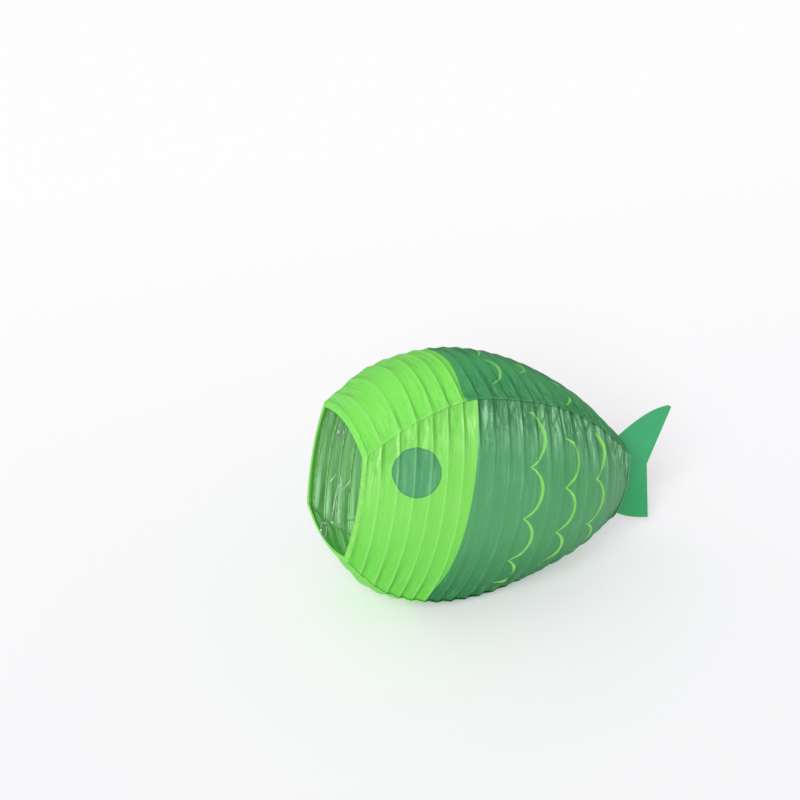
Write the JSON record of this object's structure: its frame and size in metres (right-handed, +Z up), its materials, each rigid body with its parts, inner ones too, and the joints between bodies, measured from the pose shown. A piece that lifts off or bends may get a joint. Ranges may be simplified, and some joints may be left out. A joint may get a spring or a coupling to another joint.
{
  "type": "paper lantern",
  "caption": "Fish-shaped paper lantern: ribbed paper body on a wire spiral, held open by a wire expander, with an open mouth and a card tail fin. The body folds flat towards the mouth.",
  "frame": {"origin": "on the surface that the lantern lies on, below the middle of its bounding box", "axes": "+Z up; the mouth faces -X and the tail fin is towards +X; the body's axis is tilted 10.5 degrees tail-down, the way the empty lantern lies on its belly; the left side is -Y"},
  "size_m": [0.3164, 0.1536, 0.2109],
  "materials": {
    "body_paper": "matte",
    "head_paper": "matte",
    "fin_card": "satin",
    "steel_wire": "satin"
  },
  "bodies": {
    "mouth_end": {"mouth_ring": "steel_wire", "mouth_hem": "head_paper", "left_side_panel": "body_paper", "right_side_panel": "body_paper", "top_panel": "body_paper", "bottom_panel": "body_paper", "spiral_rib": "steel_wire"},
    "tail_end": {"tail_ring": "steel_wire", "tail_hem": "body_paper", "fin_holder": "steel_wire"},
    "fin": {"tail_fin": "fin_card"},
    "expander": {"expander": "steel_wire"},
    "lamp_hook": {"lamp_hook_front": "steel_wire", "lamp_hook_rear": "steel_wire"}
  },
  "joints": [
    {"name": "expander_pull", "type": "slide", "parent": "mouth_end", "child": "expander", "axis": [-0.9833, 0, 0.1822], "range_m": [0, 0.275]},
    {"name": "body_collapse", "type": "slide", "parent": "mouth_end", "child": "tail_end", "axis": [-0.9833, 0, 0.1822], "range_m": [0, 0.22], "deforming": ["left_side_panel", "right_side_panel", "top_panel", "bottom_panel", "spiral_rib"]},
    {"name": "fin_pull", "type": "slide", "parent": "tail_end", "child": "fin", "axis": [0.9833, 0, -0.1822], "range_m": [0, 0.03]},
    {"name": "hook_swing", "type": "hinge", "parent": "expander", "child": "lamp_hook", "pos_m": [-0.149, 0, 0.0828], "axis": [0.9919, 0, -0.1268], "range_deg": [-60, 60]}
  ],
  "couplings": [
    {"joint": "body_collapse", "follows": "expander_pull", "ratio": 0.8}
  ]
}
